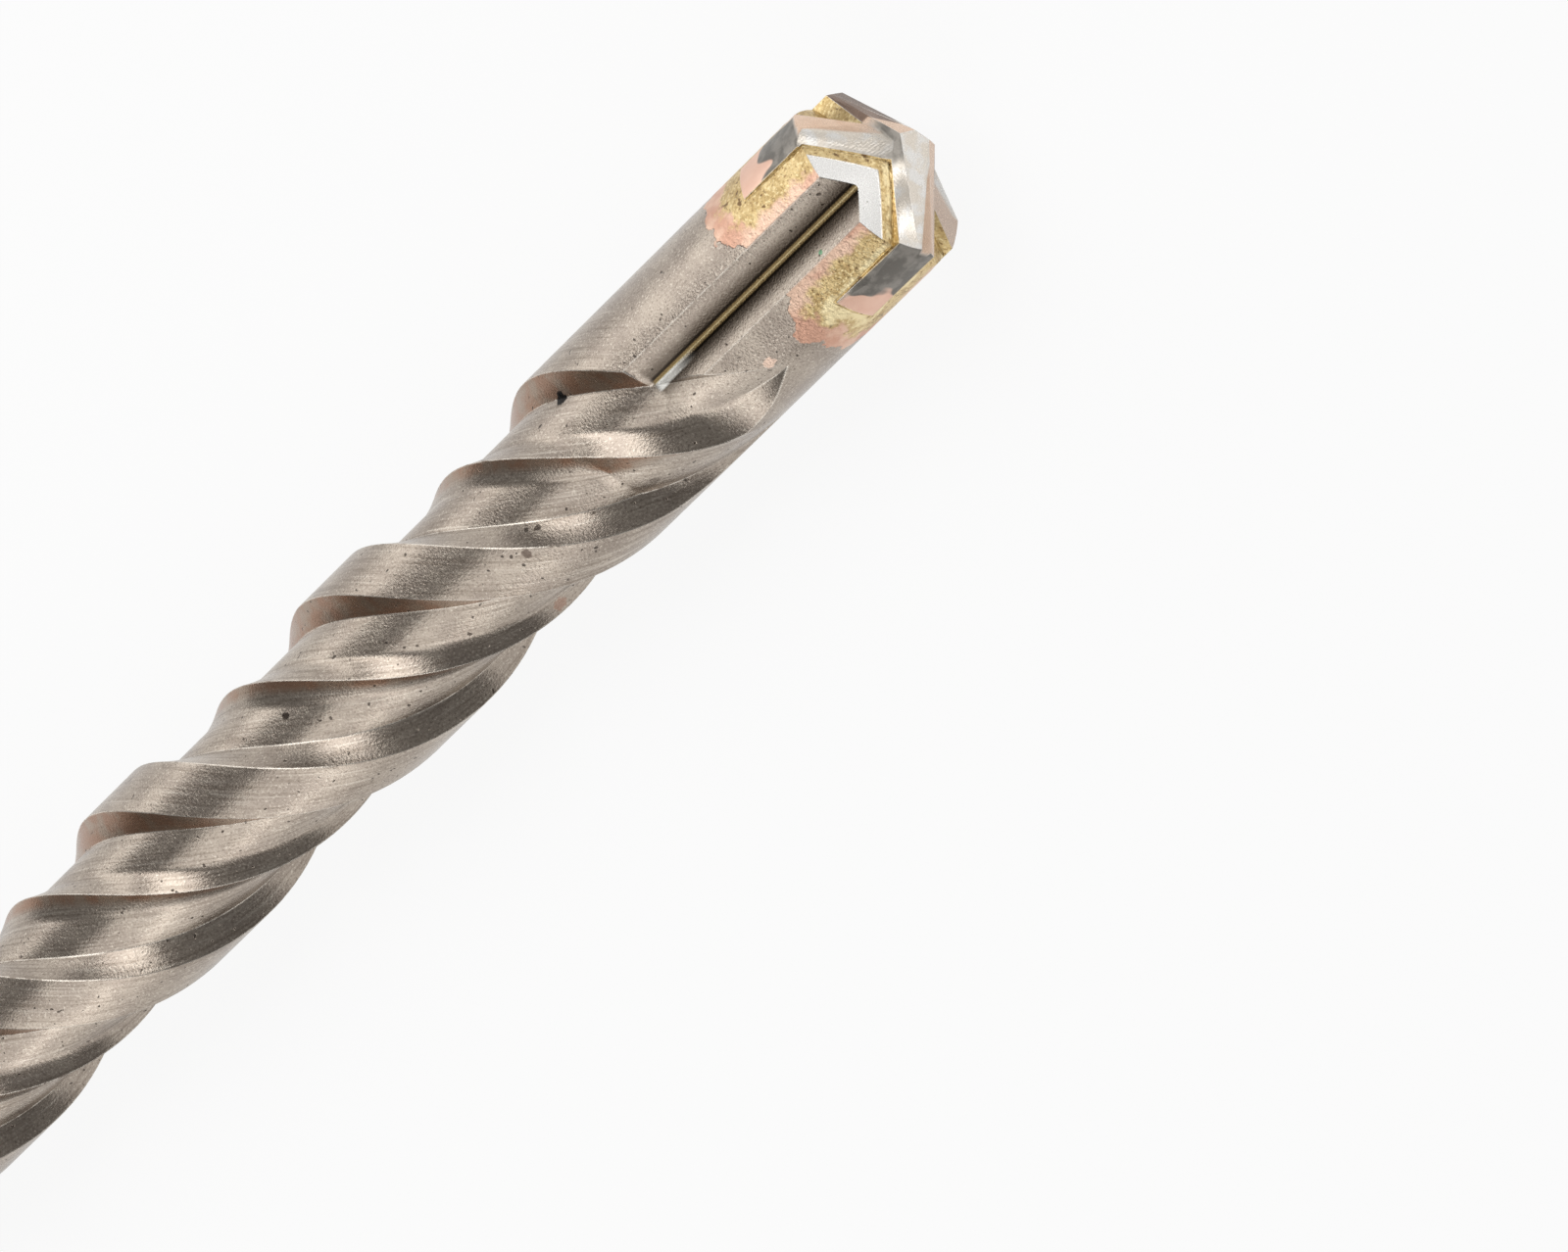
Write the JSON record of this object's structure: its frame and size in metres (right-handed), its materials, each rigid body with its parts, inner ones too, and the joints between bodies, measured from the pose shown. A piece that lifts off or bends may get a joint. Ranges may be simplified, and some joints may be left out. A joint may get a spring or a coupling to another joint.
{
  "type": "sds plus drill bit",
  "caption": "Hammer drill bit for masonry: slotted shank, twisted flutes with wide lands and a narrow rib, and a brazed X-shaped carbide head with dust grooves.",
  "frame": {"origin": "centre of the flat end of the shank", "axes": "+X along the bit's axis to its tip; +Z out of the dust groove that faces the camera, so the drive slots face +Z and -Z and the ball grooves +Y and -Y"},
  "size_m": [0.16, 0.0118, 0.0118],
  "materials": {
    "blasted_steel": "shot-blasted, warm grey",
    "ground_carbide": "ground",
    "brazing_alloy": "as melted"
  },
  "bodies": {
    "root": {"steel_body": "blasted_steel", "carbide_head": "ground_carbide", "braze_joint": "brazing_alloy"}
  },
  "joints": []
}
